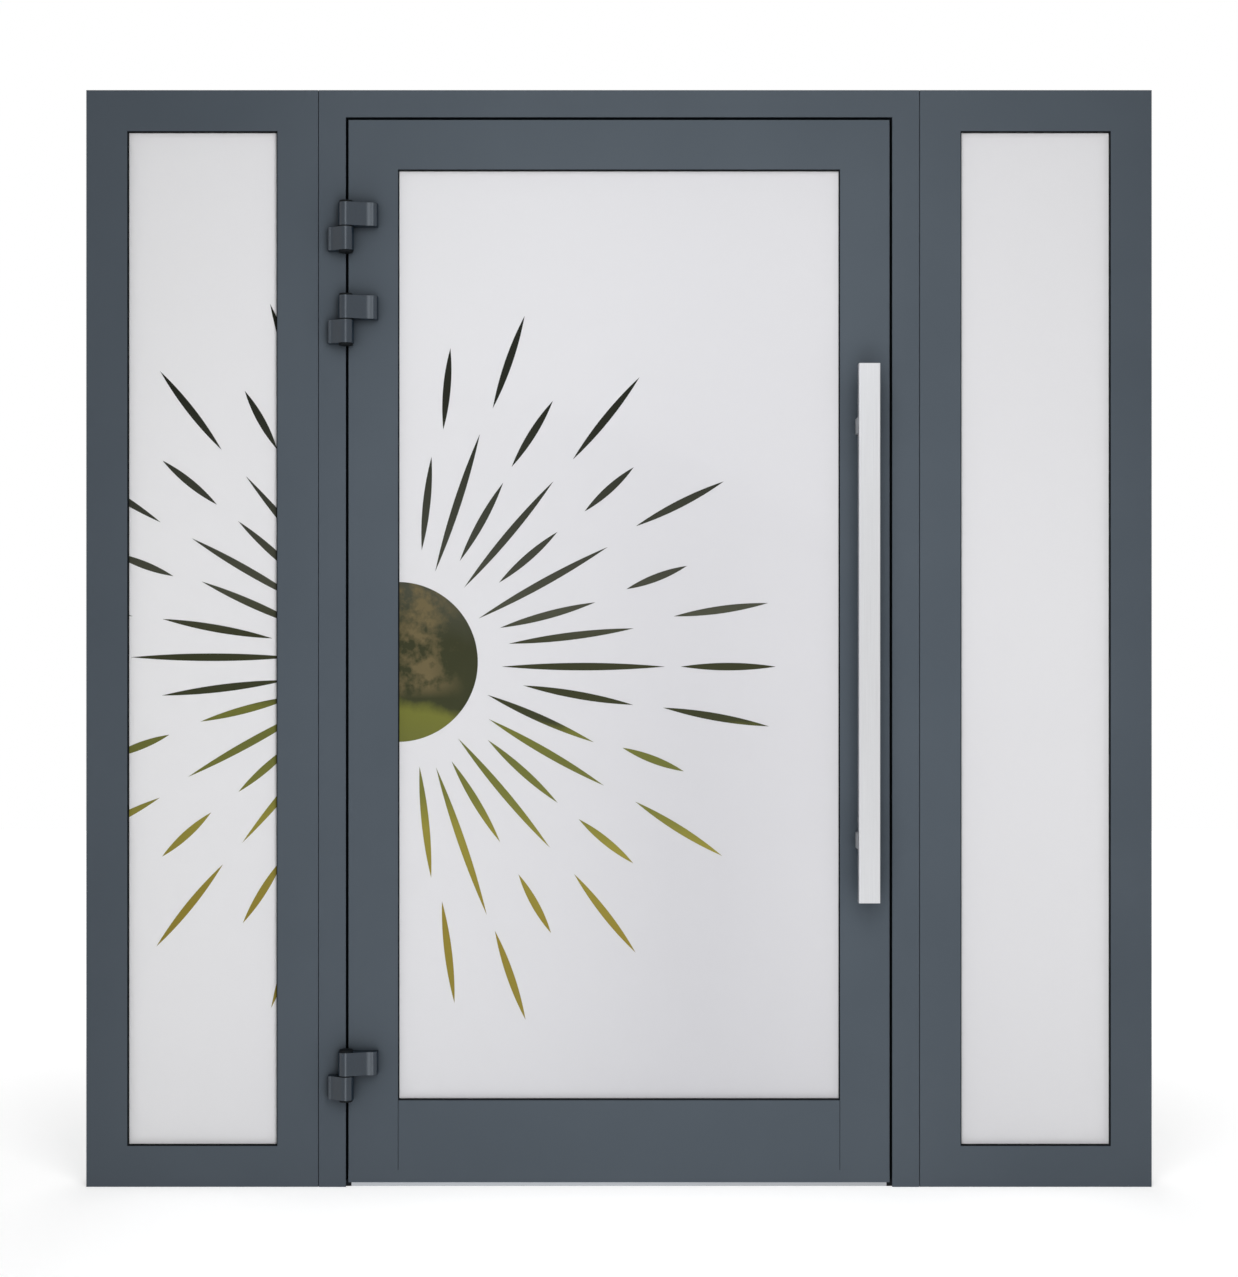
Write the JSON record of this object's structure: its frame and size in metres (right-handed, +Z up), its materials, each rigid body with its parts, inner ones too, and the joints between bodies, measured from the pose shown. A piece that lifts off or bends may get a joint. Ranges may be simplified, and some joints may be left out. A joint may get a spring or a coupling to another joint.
{
  "type": "glazed hinged entrance door with sidelights",
  "caption": "Glazed aluminium entrance door hung on barrel hinges in a frame between fixed sidelights, with frosted double glazing and a long pull bar.",
  "frame": {"origin": "middle of the threshold's underside, on the floor and halfway through the depth of the frame", "axes": "+X to the right as seen from the street, +Y from the street face to the room face, +Z up"},
  "size_m": [2.04, 0.145, 2.1],
  "materials": {
    "grey_coating": "satin anthracite powder coat on extruded aluminium",
    "frosted_glass": "etched, with a clear sunburst",
    "clear_glass": "clear float",
    "gasket_rubber": "matt black",
    "edge_spacer": "matt grey, warm edge",
    "mill_aluminium": "anodised, ribbed",
    "black_plastic": "matt black",
    "brushed_steel": "brushed along the bar"
  },
  "bodies": {
    "frame": {"bottom_hinge_frame_half": "grey_coating", "coupling_strips": "black_plastic", "door_head": "grey_coating", "hinge_bottom_caps": "black_plastic", "hinge_jamb": "grey_coating", "hinge_pins": "brushed_steel", "hinge_washers": "black_plastic", "left_sidelight_beads": "grey_coating", "left_sidelight_gaskets": "gasket_rubber", "left_sidelight_head": "grey_coating", "left_sidelight_inner_jamb": "grey_coating", "left_sidelight_inner_pane": "clear_glass", "left_sidelight_outer_jamb": "grey_coating", "left_sidelight_outer_pane": "frosted_glass", "left_sidelight_sill": "grey_coating", "left_sidelight_spacer": "edge_spacer", "lock_jamb": "grey_coating", "right_sidelight_beads": "grey_coating", "right_sidelight_gaskets": "gasket_rubber", "right_sidelight_head": "grey_coating", "right_sidelight_inner_jamb": "grey_coating", "right_sidelight_inner_pane": "clear_glass", "right_sidelight_outer_jamb": "grey_coating", "right_sidelight_outer_pane": "frosted_glass", "right_sidelight_sill": "grey_coating", "right_sidelight_spacer": "edge_spacer", "stop_seal": "gasket_rubber", "threshold": "mill_aluminium", "threshold_end_blocks": "black_plastic", "top_hinge_frame_half": "grey_coating", "upper_hinge_frame_half": "grey_coating"},
    "leaf": {"bottom_hinge_leaf_half": "grey_coating", "hinge_top_caps": "black_plastic", "leaf_beads": "grey_coating", "leaf_bottom_rail": "grey_coating", "leaf_bottom_strip": "grey_coating", "leaf_gaskets": "gasket_rubber", "leaf_hinge_stile": "grey_coating", "leaf_inner_pane": "clear_glass", "leaf_lock_stile": "grey_coating", "leaf_outer_pane": "frosted_glass", "leaf_spacer": "edge_spacer", "leaf_top_rail": "grey_coating", "pull_bar": "brushed_steel", "pull_bar_end_plates": "brushed_steel", "pull_bar_posts": "brushed_steel", "top_hinge_leaf_half": "grey_coating", "upper_hinge_leaf_half": "grey_coating"}
  },
  "joints": [
    {"name": "leaf_swing", "type": "hinge", "parent": "frame", "child": "leaf", "pos_m": [-0.5205, -0.051, 0], "axis": [0, 0, -1], "range_deg": [0, 170]}
  ]
}
